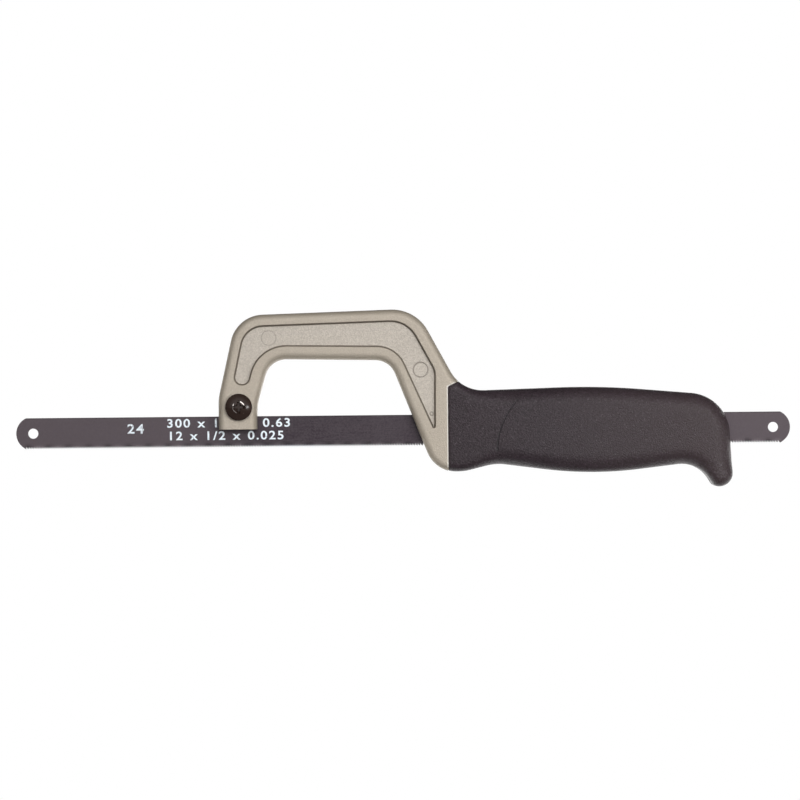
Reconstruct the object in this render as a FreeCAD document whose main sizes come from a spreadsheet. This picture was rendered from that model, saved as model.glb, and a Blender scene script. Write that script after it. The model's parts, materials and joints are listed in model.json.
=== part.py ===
import FreeCAD, Part
import math
import os
import Sketcher

# Mini hacksaw: a cast frame with one arm, a full-length blade pinched under the arm by a screw clamp,
# and a moulded two-shell grip that the blade runs through.
# +X along the blade towards the grip, +Z away from the teeth, Y = 0 on the blade's mid-plane.
# The origin is the middle of the saw's box. Outline corners are (x, z, radius), with z from the
# blade's centre line, which lies sheet value blade_drop below the origin. Millimetres throughout.

V = FreeCAD.Vector
DOC = FreeCAD.newDocument("mini_hacksaw")
NEAR = -1
FAR = 1

SIZES = {
    "hole_spacing": 300.0,     # standard blade, pin hole to pin hole
    "blade_tall": 12.5,
    "blade_thick": 0.63,
    "pin_hole_dia": 4.1,
    "blade_end_radius": 6.9,
    "teeth_per_inch": 24.0,
    "tooth_depth": 0.55,
    "teeth_margin": 3.0,       # toothed length past each pin hole
    "blade_drop": 12.5,        # blade centre line below the middle of the saw's box
    "frame_thick": 14.0,
    "web_thick": 10.0,
    "frame_round": 2.8,
    "recess_round": 0.25,
    "recess_draft": 19.0,      # degrees that the recess walls lean back
    "seam_round": 0.4,
    "mark_dia": 5.9,           # shallow round marks that the casting die's pins leave in the recess
    "mark_depth": 0.15,
    "pit_dia": 1.2,
    "seat_gap": 0.05,          # blade to cheek and blade to jaw, each side
    "foot_bottom": 1.0,        # arm and jaw end this far above the blade's centre line
    "step_ceiling": 6.4,
    "slot_wide": 1.3,
    "slot_tall": 13.1,
    "screw_x": -66.3,
    "screw_rise": 10.0,        # clamp screw above the blade's centre line
    "screw_dia": 5.0,
    "screw_hole_dia": 5.3,
    "screw_head_dia": 10.9,
    "screw_head_tall": 2.6,
    "cross_size": 5.0,
    "cross_wide": 1.1,
    "cross_depth": 1.5,
    "washer_thick": 0.9,
    "washer_outer": 9.2,
    "washer_inner": 5.2,
    "washer_gap_deg": 9.0,
    "jaw_wide": 11.0,
    "jaw_top": 16.6,
    "jaw_back": 6.8,
    "jaw_pocket_gap": 0.1,
    "jaw_bore_dia": 5.06,      # stands for the M5 thread, with a running fit
    "heel_tall": 3.4,
    "jaw_travel": 1.6,
    "ring_clear": 0.05,
    "ring_thick": 0.6,
    "ring_outer": 7.6,
    "ring_gap_deg": 60.0,
    "ring_groove_dia": 4.0,
    "tip_past_ring": 0.75,
    "joint_x": 18.3,           # where the grip meets the frame
    "tang_end": 98.0,
    "tang_half_tall": 11.0,
    "tang_wing": 8.2,          # half height of the tang beside the front grip bosses
    "tang_half_thick": 4.5,
    "tang_fit": 0.2,
    "room_rise": 0.7,          # the shells' deeper rooms reach this far above and below the tang
    "grip_thick": 21.0,
    "grip_front_thick": 14.4,  # nearly flush with the frame
    "taper_end": 62.0,         # the grip is at full thickness from here back
    "grip_round": 3.3,
    "grip_wall": 2.8,
    "m3_dia": 3.0,
    "m3_clear": 3.4,
    "m3_head_dia": 5.6,
    "m3_head_room": 6.2,
    "m3_head_tall": 2.0,
    "m3_drive": 3.2,
    "m3_drive_wide": 0.7,
    "m3_drive_depth": 1.1,
    "grip_screw_seat": 5.2,    # under the grip screw heads, from the blade's mid-plane
    "grip_screw_long": 10.0,
    "cover_screw_long": 8.0,
    "insert_outer": 4.6,
    "insert_long": 5.5,
    "insert_depth": 0.8,       # top of the inserts below the shells' parting plane
    "guide_wide": 3.2,
    "guide_tall": 15.2,
    "guide_long": 5.0,
    "guide_slot_tall": 13.0,
    "guide_slot_wide": 1.2,
    "guide_fit": 0.05,
    "front_guide_x": 18.5,
    "rear_guide_x": 120.5,
    "exit_slot_wide": 1.6,
    "exit_slot_tall": 13.6,
}

# Outer line of frame and grip together, from the arm's front toe round over the back.
ARM_FRONT = [(-74.6, 1.0, 0.0), (-74.6, 13.5, 20.0)]
BACK_LINE = [(-67.1, 47.02, 13.5), (5.5, 49.23, 16.5), (23.7, 15.8, 15.0)]
THROAT = [(12.9, -16.9, 12.4), (-5.25, 28.45, 8.6), (-53.8, 29.35, 8.8), (-59.05, 11.0, 20.0),
          (-59.05, 1.0, 0.0)]
GRIP_BACK = [(79.5, 17.45, 300.0), (131.45, 13.0, 17.0)]
HOOK = [(133.6, -23.95, 5.7), (125.4, -23.95, 3.5), (119.6, -13.8, 13.0)]
GRIP_BELLY = [(76.3, -18.85, 158.0), (37.5, -13.8, 20.0), (24.5, -16.95, 20.0)]
RECESS = [(-69.1, 18.7, 3.3), (-64.0, 42.8, 9.5), (2.2, 44.75, 12.0), (13.45, 24.1, 8.0),
          (13.2, -1.9, 0.75), (-2.8, 33.65, 11.8), (-58.1, 34.45, 14.5), (-62.3, 18.7, 3.3)]
PIN_MARKS = [(-54.14, 37.82), (7.27, 24.46)]
PIT = (11.6, 6.6)
# The seam between frame and grip: up the frame's rear face, round a corner, and out to the neck.
SEAM_LOW, SEAM_CORNER, SEAM_OUT = (-30.0, 0.0), (17.55, 1.0), (24.8, 20.6)

GRIP_SCREWS = [(28.6, 12.2), (28.6, -12.0), (112.0, 10.6), (125.6, -14.8)]
COVER_SCREWS = [(46.0, 8.3), (46.0, -8.3), (86.0, 8.3), (86.0, -8.3)]
SHELL_ROOMS = [(38.0, 56.0), (58.5, 73.5), (76.0, 94.0)]


def make_sheet():
    sheet = DOC.addObject("Spreadsheet::Sheet", "sizes")
    for row, (name, value) in enumerate(SIZES.items(), start=1):
        sheet.set("A%d" % row, name)
        sheet.set("B%d" % row, str(value))
        sheet.setAlias("B%d" % row, name)
    DOC.recompute()
    return sheet


SHEET = make_sheet()


def size(name):
    return float(SHEET.get(name))


def blade_z():
    return -size("blade_drop")


def screw_at():
    return size("screw_x"), blade_z() + size("screw_rise")


# ---- sketch helpers ----

def new_body(label):
    made = DOC.addObject("PartDesign::Body", label)
    made.Label = label
    return made


def side_sketch(owner, name, at_y=0.0):
    """A sketch across the saw's thickness, at this Y: its x is X, its y is Z, and it faces -Y."""
    return plane_sketch(owner, name, "XZ_Plane", -at_y)


def plane_sketch(owner, name, role, offset):
    plane = [f for f in owner.Origin.OriginFeatures if f.Role == role][0]
    sketch = owner.newObject("Sketcher::SketchObject", name)
    sketch.AttachmentSupport = [(plane, "")]
    sketch.MapMode = "FlatFace"
    if offset:
        sketch.AttachmentOffset = FreeCAD.Placement(V(0, 0, offset), FreeCAD.Rotation())
    return sketch


def rounded(corners, lift=0.0):
    """The closed line through the corners, with each corner rounded by a tangent arc."""
    points = [V(x, z + lift, 0) for x, z, _ in corners]
    count = len(points)
    starts, ends, middles = [], [], []
    for i, (_, _, radius) in enumerate(corners):
        here = points[i]
        back = (points[i - 1] - here).normalize()
        ahead = (points[(i + 1) % count] - here).normalize()
        half = math.acos(max(-1.0, min(1.0, back.dot(ahead)))) / 2
        reach = radius / math.tan(half)
        inward = (back + ahead).normalize()
        starts.append(here + back * reach)
        ends.append(here + ahead * reach)
        middles.append(here + inward * (radius / math.sin(half) - radius))
    pieces = []
    for i in range(count):
        if corners[i][2] > 0:
            pieces.append(Part.Arc(starts[i], middles[i], ends[i]))
        onward = starts[(i + 1) % count]
        if (onward - ends[i]).Length > 1e-6:
            pieces.append(Part.LineSegment(ends[i], onward))
    return pieces


def draw_outline(sketch, corners, lift=0.0):
    for piece in rounded(corners, lift):
        sketch.addGeometry(piece, False)


def draw_box(sketch, left, low, right, high):
    draw_outline(sketch, [(left, low, 0), (left, high, 0), (right, high, 0), (right, low, 0)])


def draw_circle(sketch, x, y, diameter):
    """A circle held at its place, with its diameter bound to a sheet value."""
    index = sketch.addGeometry(Part.Circle(V(x, y, 0), V(0, 0, 1), size(diameter) / 2), False)
    sketch.addConstraint(Sketcher.Constraint("DistanceX", -1, 1, index, 3, x))
    sketch.addConstraint(Sketcher.Constraint("DistanceY", -1, 1, index, 3, y))
    held = sketch.addConstraint(Sketcher.Constraint("Diameter", index, size(diameter)))
    sketch.setExpression("Constraints[%d]" % held, "sizes.%s" % diameter)


def pad(owner, sketch, length, midplane=False, towards=NEAR):
    """Thickens a side sketch to both sides, or towards NEAR (-Y) or FAR (+Y)."""
    feature = owner.newObject("PartDesign::Pad", sketch.Name + "_pad")
    feature.Profile = sketch
    feature.Midplane = midplane
    feature.Reversed = towards == FAR
    feature.setExpression("Length", length)
    DOC.recompute()
    return feature


def pocket(owner, sketch, length, midplane=False, towards=FAR):
    """Cuts a side sketch out, to both sides or one way, and makes sure that it took something."""
    before = owner.Shape.Volume
    feature = owner.newObject("PartDesign::Pocket", sketch.Name + "_cut")
    feature.Profile = sketch
    feature.Type = "Length"
    feature.Midplane = midplane
    feature.Reversed = towards == NEAR
    feature.setExpression("Length", length)
    DOC.recompute()
    if before - owner.Shape.Volume < 0.01:
        raise RuntimeError("%s cuts nothing" % sketch.Name)
    return feature


def near_line(edge, corners):
    """True where the edge's middle, seen from the side, lies on the rounded line."""
    middle = edge.valueAt((edge.FirstParameter + edge.LastParameter) / 2)
    probe = Part.Vertex(V(middle.x, middle.z, 0))
    pieces = rounded(corners, blade_z())
    return min(piece.toShape().distToShape(probe)[0] for piece in pieces) < 0.02


def at_face(edge, half_thick):
    box = edge.BoundBox
    flat = box.YMax - box.YMin < 1e-4
    return flat and abs(abs(box.YMin) - half_thick) < 1e-4


def round_edges(owner, test, radius, name):
    base = owner.Tip
    picked = ["Edge%d" % (i + 1) for i, edge in enumerate(base.Shape.Edges) if test(edge)]
    feature = owner.newObject("PartDesign::Fillet", name)
    feature.Base = (base, picked)
    feature.setExpression("Radius", radius)
    DOC.recompute()
    return feature


# ---- blade ----

def blade():
    """A flat blade with rounded ends, a pin hole at each end and a row of raked teeth."""
    made = new_body("blade")
    half = size("hole_spacing") / 2
    tall = size("blade_tall") / 2
    radius = size("blade_end_radius")
    reach = math.sqrt(radius ** 2 - tall ** 2)
    middle = blade_z()
    top_left = V(-half - reach, middle + tall, 0)
    top_right = V(half + reach, middle + tall, 0)
    low_right = V(half + reach, middle - tall, 0)
    low_left = V(-half - reach, middle - tall, 0)
    outline = side_sketch(made, "blade_outline")
    outline.addGeometry(Part.LineSegment(top_left, top_right), False)
    outline.addGeometry(Part.Arc(top_right, V(half + radius, middle, 0), low_right), False)
    outline.addGeometry(Part.LineSegment(low_right, low_left), False)
    outline.addGeometry(Part.Arc(low_left, V(-half - radius, middle, 0), top_left), False)
    pad(made, outline, "sizes.blade_thick", midplane=True)
    holes = side_sketch(made, "pin_holes")
    draw_circle(holes, -half, middle, "pin_hole_dia")
    draw_circle(holes, half, middle, "pin_hole_dia")
    pocket(made, holes, "sizes.blade_thick * 2", midplane=True)
    gullets = side_sketch(made, "gullets")
    points = tooth_line(middle - tall, half)
    for here, ahead in zip(points, points[1:] + points[:1]):
        gullets.addGeometry(Part.LineSegment(here, ahead), False)
    pocket(made, gullets, "sizes.blade_thick * 2", midplane=True)
    return made


def tooth_line(edge_z, half):
    """The toothed edge and a closing line under it: each tooth has a steep face and a long back."""
    pitch = 25.4 / size("teeth_per_inch")
    first = -half - size("teeth_margin")
    count = int(-2 * first / pitch)
    under = edge_z - 0.3
    steep = 0.25 * pitch
    points = [V(first, under, 0)]
    for i in range(count):
        x = first + i * pitch
        points.append(V(x, edge_z, 0))
        points.append(V(x + steep, edge_z + size("tooth_depth"), 0))
    last = first + count * pitch
    return points + [V(last, edge_z, 0), V(last, under, 0)]


# ---- frame ----

def seam(past):
    """The region behind the seam, out to a far corner past the grip's end."""
    joint = size("joint_x")
    return [(joint, SEAM_LOW[0], 0.0), (joint,) + SEAM_CORNER, SEAM_OUT + (0.0,),
            (past, SEAM_OUT[1], 0.0), (past, SEAM_LOW[0], 0.0)]


def frame():
    """The casting: arm, back and rear leg in one, recessed on both faces, and the tang behind."""
    made = new_body("frame")
    face = size("frame_thick") / 2
    middle = blade_z()
    past = size("taper_end") + 2.0
    corners = ARM_FRONT + BACK_LINE + [(past, 15.8, 0.0), (past, -16.9, 0.0)] + THROAT
    outline = side_sketch(made, "frame_outline")
    draw_outline(outline, corners, middle)
    pad(made, outline, "sizes.frame_thick", midplane=True)
    trim = side_sketch(made, "grip_seam")
    draw_outline(trim, seam(past + 5.0), middle)
    pocket(made, trim, "sizes.frame_thick * 2", midplane=True)
    round_edges(made, lambda edge: is_rim(edge, face), "sizes.frame_round", "rim_round")
    round_edges(made, lambda edge: at_face(edge, face) and near_line(edge, seam(200.0)),
                "sizes.seam_round", "seam_edge_round")
    for side, name in ((NEAR, "near_recess"), (FAR, "far_recess")):
        recess = side_sketch(made, name, at_y=side * face)
        draw_outline(recess, RECESS, middle)
        cut = pocket(made, recess, "(sizes.frame_thick - sizes.web_thick) / 2", towards=-side)
        cut.setExpression("TaperAngle", "-sizes.recess_draft")
    round_edges(made, lambda edge: at_face(edge, face) and near_line(edge, RECESS),
                "sizes.recess_round", "recess_lip_round")
    marks = side_sketch(made, "pin_marks", at_y=-size("web_thick") / 2)
    for x, z in PIN_MARKS:
        draw_circle(marks, x, middle + z, "mark_dia")
    draw_circle(marks, PIT[0], middle + PIT[1], "pit_dia")
    pocket(made, marks, "sizes.mark_depth", towards=FAR)
    add_tang(made)
    add_clamp_seat(made)
    return made


def is_rim(edge, face):
    """Edges of the two faces, apart from the seam and the arm's flat foot."""
    foot_z = blade_z() + size("foot_bottom")
    on_foot = edge.BoundBox.ZMax < foot_z + 0.01 and edge.BoundBox.XMax < -50.0
    return at_face(edge, face) and not on_foot and not near_line(edge, seam(200.0))


def tang_line(start, grow=0.0):
    """A long tongue, narrowed beside the two front grip bosses so that they hold it endways."""
    tall = size("tang_half_tall") + grow
    wing = size("tang_wing") + grow
    end = size("tang_end") + grow
    left, right = 24.0 - grow, 35.0 - grow
    upper = [(start, wing, 0.0), (right - 2.0, wing, 0.5), (right, tall, 0.5), (end, tall, 1.5)]
    lower = [(x, -z, r) for x, z, r in reversed(upper)]
    return upper + lower


def add_tang(made):
    """The tongue inside the grip: a plate on the near side, and rails that carry the cover."""
    middle = blade_z()
    joint = size("joint_x")
    end = size("tang_end")
    outline = side_sketch(made, "tang_outline")
    draw_outline(outline, tang_line(joint - 2.0), middle)
    pad(made, outline, "sizes.tang_half_thick * 2", midplane=True)
    room = side_sketch(made, "cover_room", at_y=size("slot_wide") / 2)
    high = size("tang_half_tall") + 1.0
    draw_box(room, joint, middle - high, end + 1.0, middle + high)
    pocket(made, room, "sizes.tang_half_thick", towards=FAR)
    slot = side_sketch(made, "blade_channel")
    tall = size("slot_tall") / 2
    draw_box(slot, -2.0, middle - tall, end + 1.0, middle + tall)
    pocket(made, slot, "sizes.slot_wide", midplane=True)
    seat = side_sketch(made, "front_guide_seat")
    draw_guide_seat(seat, size("front_guide_x"))
    pocket(made, seat, "sizes.guide_wide + sizes.guide_fit * 2", midplane=True)
    holes = side_sketch(made, "cover_screw_holes", at_y=-size("tang_half_thick"))
    for x, z in COVER_SCREWS:
        draw_circle(holes, x, middle + z, "m3_dia")
    pocket(made, holes, "sizes.tang_half_thick * 2", towards=FAR)


def draw_guide_seat(sketch, start):
    fit = size("guide_fit")
    tall = size("guide_tall") / 2 + fit
    draw_box(sketch, start - fit, blade_z() - tall, start + size("guide_long") + fit, blade_z() + tall)


def add_clamp_seat(made):
    """The arm's foot: a cheek on the near side, a step for the blade and a pocket for the jaw."""
    middle = blade_z()
    x, z = screw_at()
    seat_y = -(size("blade_thick") / 2 + size("seat_gap"))
    below = middle - 2.0
    step = side_sketch(made, "blade_step", at_y=seat_y)
    draw_box(step, -80.0, below, -50.0, middle + size("step_ceiling"))
    pocket(made, step, "sizes.frame_thick", towards=FAR)
    half = size("jaw_wide") / 2 + size("jaw_pocket_gap")
    high = middle + size("jaw_top") + size("jaw_pocket_gap")
    room = side_sketch(made, "jaw_room", at_y=seat_y)
    draw_outline(room, [(x - half, below, 0), (x - half, high, 1.5), (x + half, high, 1.5),
                        (x + half, below, 0)])
    pocket(made, room, "sizes.frame_thick", towards=FAR)
    bore = side_sketch(made, "screw_bore")
    draw_circle(bore, x, z, "screw_hole_dia")
    pocket(made, bore, "sizes.frame_thick", towards=NEAR)


# ---- clamp ----

def clamp_jaw():
    """A threaded steel block: its lip pinches the blade, its heel bears on the cheek above it."""
    made = new_body("clamp_jaw")
    x, z = screw_at()
    half = size("jaw_wide") / 2
    front = size("blade_thick") / 2 + size("seat_gap")
    low = blade_z() + size("foot_bottom")
    high = blade_z() + size("jaw_top")
    block = side_sketch(made, "jaw_block", at_y=front)
    draw_outline(block, [(x - half, low, 0.6), (x - half, high, 1.6), (x + half, high, 1.6),
                         (x + half, low, 0.6)])
    pad(made, block, "sizes.jaw_back - sizes.blade_thick / 2 - sizes.seat_gap", towards=FAR)
    heel_low = high - size("heel_tall")
    heel = side_sketch(made, "jaw_heel", at_y=front)
    draw_outline(heel, [(x - half, heel_low, 0), (x - half, high, 1.6), (x + half, high, 1.6),
                        (x + half, heel_low, 0)])
    pad(made, heel, "sizes.blade_thick + sizes.seat_gap", towards=NEAR)
    thread = side_sketch(made, "jaw_thread", at_y=-size("jaw_back"))
    draw_circle(thread, x, z, "jaw_bore_dia")
    pocket(made, thread, "sizes.jaw_back * 3", towards=FAR)
    return made


def turned(owner, name, profile, axis_x, axis_z):
    """Turns a profile of (y, radius) points about a line parallel to Y."""
    sketch = plane_sketch(owner, name, "YZ_Plane", axis_x)
    points = [V(y, axis_z + radius, 0) for y, radius in profile]
    for here, ahead in zip(points, points[1:] + points[:1]):
        sketch.addGeometry(Part.LineSegment(here, ahead), False)
    sketch.addGeometry(Part.LineSegment(points[-1], points[0]), True)
    feature = owner.newObject("PartDesign::Revolution", name + "_turned")
    feature.Profile = sketch
    feature.ReferenceAxis = (sketch, ["Axis0"])
    feature.Angle = 360.0
    DOC.recompute()
    return feature


def domed_head(face, tall, radius):
    """Profile of a domed head from its underside's rim to its crown: a short side, then an ellipse."""
    side = 0.3 * tall
    steps = 6
    points = [(face, radius), (face - side, radius)]
    for i in range(1, steps):
        turn = math.pi / 2 * i / steps
        points.append((face - side - (tall - side) * math.sin(turn), radius * math.cos(turn)))
    return points + [(face - tall, 0.0)]


def clamp_screw():
    """M5 screw with a domed head and a cross recess; a groove near its tip holds the stop ring."""
    made = new_body("clamp_screw")
    x, z = screw_at()
    face = -size("frame_thick") / 2 - size("washer_thick")
    tall = size("screw_head_tall")
    radius = size("screw_dia") / 2
    small = size("ring_groove_dia") / 2
    groove = size("jaw_back") + size("jaw_travel") + size("ring_clear")
    after = groove + size("ring_thick")
    tip = after + size("tip_past_ring")
    shank = [(tip, 0.0), (tip, radius - 0.4), (tip - 0.4, radius), (after, radius), (after, small),
             (groove, small), (groove, radius), (face, radius)]
    turned(made, "screw_profile", shank + domed_head(face, tall, size("screw_head_dia") / 2), x, z)
    cross = side_sketch(made, "cross_recess", at_y=face - tall)
    draw_outline(cross, cross_line(x, z, size("cross_size") / 2, size("cross_wide") / 2))
    pocket(made, cross, "sizes.cross_depth", towards=FAR)
    return made


def cross_line(x, z, arm, slim):
    quarter = [(slim, arm), (slim, slim), (arm, slim), (arm, -slim)]
    corners = []
    for turn in range(4):
        for a, b in quarter[:3]:
            for _ in range(turn):
                a, b = b, -a
            corners.append((x + a, z + b, 0.0))
    return corners


def split_ring(label, inner, outer, low_y, length, gap):
    """A flat ring about the clamp screw's axis with a wedge-shaped gap that points down."""
    made = new_body(label)
    x, z = screw_at()
    face = side_sketch(made, label + "_face", at_y=low_y)
    draw_circle(face, x, z, outer)
    draw_circle(face, x, z, inner)
    pad(made, face, "sizes.%s" % length, towards=FAR)
    reach = size(outer)
    swing = reach * math.tan(math.radians(size(gap) / 2))
    wedge = side_sketch(made, label + "_gap", at_y=low_y)
    draw_outline(wedge, [(x, z, 0), (x + swing, z - reach, 0), (x - swing, z - reach, 0)])
    pocket(made, wedge, "sizes.%s * 2" % length, towards=FAR)
    return made


def clamp_washer():
    low_y = -size("frame_thick") / 2 - size("washer_thick")
    return split_ring("clamp_washer", "washer_inner", "washer_outer", low_y, "washer_thick",
                      "washer_gap_deg")


def screw_stop_ring():
    low_y = size("jaw_back") + size("jaw_travel") + size("ring_clear")
    return split_ring("screw_stop_ring", "ring_groove_dia", "ring_outer", low_y, "ring_thick",
                      "ring_gap_deg")


# ---- inside the grip ----

def channel_cover():
    """The plate on the far side of the tang that closes the blade's channel."""
    made = new_body("channel_cover")
    middle = blade_z()
    inner = size("slot_wide") / 2
    outline = side_sketch(made, "cover_outline", at_y=inner)
    draw_outline(outline, tang_line(size("joint_x") + 0.1), middle)
    pad(made, outline, "sizes.tang_half_thick - sizes.slot_wide / 2", towards=FAR)
    seat = side_sketch(made, "cover_guide_seat", at_y=inner)
    draw_guide_seat(seat, size("front_guide_x"))
    pocket(made, seat, "(sizes.guide_wide - sizes.slot_wide) / 2 + sizes.guide_fit", towards=FAR)
    holes = side_sketch(made, "cover_holes", at_y=inner)
    for x, z in COVER_SCREWS:
        draw_circle(holes, x, middle + z, "m3_clear")
    pocket(made, holes, "sizes.tang_half_thick * 2", towards=FAR)
    return made


def blade_guide(label, start):
    """A nylon sleeve round the blade."""
    made = new_body(label)
    middle = blade_z()
    long = size("guide_long")
    tall = size("guide_tall") / 2
    block = side_sketch(made, label + "_block")
    draw_box(block, start, middle - tall, start + long, middle + tall)
    pad(made, block, "sizes.guide_wide", midplane=True)
    opening = side_sketch(made, label + "_slot")
    slot = size("guide_slot_tall") / 2
    draw_box(opening, start - 1.0, middle - slot, start + long + 1.0, middle + slot)
    pocket(made, opening, "sizes.guide_slot_wide", midplane=True)
    return made


def screw_set(label, places, seat_y, long):
    """Identical pan-head screws that point to -Y, one solid each."""
    radius = size("m3_dia") / 2
    head = size("m3_head_dia") / 2
    tall = size("m3_head_tall")
    drive = size("m3_drive")
    slim = size("m3_drive_wide")
    deep = size("m3_drive_depth")
    top = seat_y + tall
    solids = []
    for x, z in places:
        at_z = blade_z() + z
        shank = Part.makeCylinder(radius, long, V(x, seat_y - long, at_z), V(0, 1, 0))
        cap = Part.makeCylinder(head, tall, V(x, seat_y, at_z), V(0, 1, 0))
        crown = [edge for edge in cap.Edges if edge.BoundBox.YMin > top - 1e-6]
        cap = cap.makeFillet(0.45 * tall, crown)
        bar = Part.makeBox(drive, deep, slim, V(x - drive / 2, top - deep, at_z - slim / 2))
        post = Part.makeBox(slim, deep, drive, V(x - slim / 2, top - deep, at_z - drive / 2))
        solids.append(shank.fuse(cap).cut(bar.fuse(post)).removeSplitter().Solids[0])
    return keep_solids(label, solids)


def grip_inserts():
    """Brass inserts with a waist, one in each of the near shell's bosses."""
    outer = size("insert_outer") / 2
    long = size("insert_long")
    start = -size("insert_depth") - long
    waist_start = start + 0.4 * long
    waist_long = 0.2 * long
    solids = []
    for x, z in GRIP_SCREWS:
        at_z = blade_z() + z
        sleeve = Part.makeCylinder(outer, long, V(x, start, at_z), V(0, 1, 0))
        band = Part.makeCylinder(outer + 1.0, waist_long, V(x, waist_start, at_z), V(0, 1, 0))
        core = Part.makeCylinder(outer - 0.35, waist_long, V(x, waist_start, at_z), V(0, 1, 0))
        bore = Part.makeCylinder(size("m3_dia") / 2, long, V(x, start, at_z), V(0, 1, 0))
        solids.append(sleeve.cut(band.cut(core)).cut(bore).Solids[0])
    return keep_solids("grip_inserts", solids)


def keep_solids(label, solids):
    made = DOC.addObject("Part::Feature", label)
    made.Label = label
    made.Shape = Part.makeCompound(solids)
    made.Placement = FreeCAD.Placement()
    return made


# ---- grip ----

def grip_line():
    """The grip's part of the outer line, run on into the frame so that the seam can trim it."""
    (top_x, top_z, _), (inner_x, inner_z, _) = BACK_LINE[1], THROAT[1]
    return ([(top_x, top_z, 0.0), BACK_LINE[2]] + GRIP_BACK + HOOK + GRIP_BELLY
            + [THROAT[0], (inner_x, inner_z, 0.0)])


def grip_shell(label, side):
    """Half of the grip, from the blade's mid-plane out to one side."""
    made = new_body(label)
    middle = blade_z()
    outline = side_sketch(made, label + "_outline")
    draw_outline(outline, grip_line(), middle)
    pad(made, outline, "sizes.grip_thick / 2", towards=side)
    joint = size("joint_x")
    ahead = [(joint, SEAM_LOW[0], 0.0), (joint,) + SEAM_CORNER, SEAM_OUT + (0.0,),
             (SEAM_OUT[0], 60.0, 0.0), (-20.0, 60.0, 0.0), (-20.0, SEAM_LOW[0], 0.0)]
    trim = side_sketch(made, label + "_seam")
    draw_outline(trim, ahead, middle)
    pocket(made, trim, "sizes.grip_thick * 2", midplane=True)
    taper_front(made, label, side)
    front = size("grip_front_thick") / 2
    round_edges(made, lambda edge: is_grip_rim(edge, front), "sizes.grip_round", label + "_round")
    round_edges(made, lambda edge: is_seam_rim(edge, front), "sizes.seam_round", label + "_seam_edge")
    hollow_shell(made, label, side)
    return made


def taper_front(made, label, side):
    """Thins the shell towards the frame along an arc that leaves the flat side without a crease."""
    joint = size("joint_x") - 1.0
    end = size("taper_end")
    half = side * size("grip_thick") / 2
    front = side * size("grip_front_thick") / 2
    run = end - joint
    drop = abs(half - front)
    radius = (run ** 2 + drop ** 2) / (2 * drop)
    turn = math.asin(run / radius) / 2
    halfway = V(end - radius * math.sin(turn), half - side * radius * (1 - math.cos(turn)), 0)
    wedge = plane_sketch(made, label + "_taper", "XY_Plane", 0.0)
    corners = [V(joint, front, 0), V(joint, half + side, 0), V(end, half + side, 0), V(end, half, 0)]
    for here, ahead in zip(corners, corners[1:]):
        wedge.addGeometry(Part.LineSegment(here, ahead), False)
    wedge.addGeometry(Part.Arc(corners[-1], halfway, corners[0]), False)
    pocket(made, wedge, "sizes.grip_thick * 10", midplane=True)


def is_grip_rim(edge, front):
    box = edge.BoundBox
    outside = min(abs(box.YMin), abs(box.YMax)) > front - 0.01
    across = box.XMax - box.XMin < 0.01 and box.ZMax - box.ZMin > 20.0
    return outside and not across and near_line(edge, grip_line())


def is_seam_rim(edge, front):
    """Edges where the shell's outside meets the frame's rear face."""
    outside = min(abs(edge.BoundBox.YMin), abs(edge.BoundBox.YMax)) > front - 0.01
    return outside and near_line(edge, seam(200.0))


def hollow_shell(made, label, side):
    """Room for the tang, deeper rooms between ribs, the guide's seat and the blade's way out."""
    middle = blade_z()
    joint = size("joint_x")
    room = side_sketch(made, label + "_tang_room")
    draw_outline(room, tang_line(joint - 2.0, size("tang_fit")), middle)
    pocket(made, room, "sizes.tang_half_thick + sizes.tang_fit", towards=side)
    for i, (left, right) in enumerate(SHELL_ROOMS):
        deep = side_sketch(made, "%s_room_%d" % (label, i))
        tall = size("tang_half_tall") + size("room_rise")
        draw_box(deep, left, middle - tall, right, middle + tall)
        pocket(made, deep, "sizes.grip_thick / 2 - sizes.grip_wall", towards=side)
    way = side_sketch(made, label + "_blade_way")
    tall = size("exit_slot_tall") / 2
    draw_box(way, size("tang_end") - 1.0, middle - tall, 140.0, middle + tall)
    pocket(made, way, "sizes.exit_slot_wide / 2", towards=side)
    seat = side_sketch(made, label + "_guide_seat")
    draw_guide_seat(seat, size("rear_guide_x"))
    pocket(made, seat, "sizes.guide_wide / 2 + sizes.guide_fit", towards=side)


def grip_shell_near():
    made = grip_shell("grip_shell_near", NEAR)
    bores = side_sketch(made, "insert_bores")
    for x, z in GRIP_SCREWS:
        draw_circle(bores, x, blade_z() + z, "insert_outer")
    pocket(made, bores, "sizes.insert_depth + sizes.insert_long", towards=NEAR)
    return made


def grip_shell_far():
    made = grip_shell("grip_shell_far", FAR)
    holes = side_sketch(made, "screw_holes")
    for x, z in GRIP_SCREWS:
        draw_circle(holes, x, blade_z() + z, "m3_clear")
    pocket(made, holes, "sizes.grip_thick", towards=FAR)
    rooms = side_sketch(made, "screw_head_rooms", at_y=size("grip_screw_seat"))
    for x, z in GRIP_SCREWS:
        draw_circle(rooms, x, blade_z() + z, "m3_head_room")
    pocket(made, rooms, "sizes.grip_thick", towards=FAR)
    return made


def build_all():
    return [
        blade(),
        frame(),
        clamp_screw(),
        clamp_washer(),
        clamp_jaw(),
        screw_stop_ring(),
        channel_cover(),
        screw_set("cover_screws", COVER_SCREWS, size("tang_half_thick"), size("cover_screw_long")),
        blade_guide("front_blade_guide", size("front_guide_x")),
        blade_guide("rear_blade_guide", size("rear_guide_x")),
        grip_shell_near(),
        grip_shell_far(),
        grip_inserts(),
        screw_set("grip_screws", GRIP_SCREWS, size("grip_screw_seat"), size("grip_screw_long")),
    ]


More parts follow.
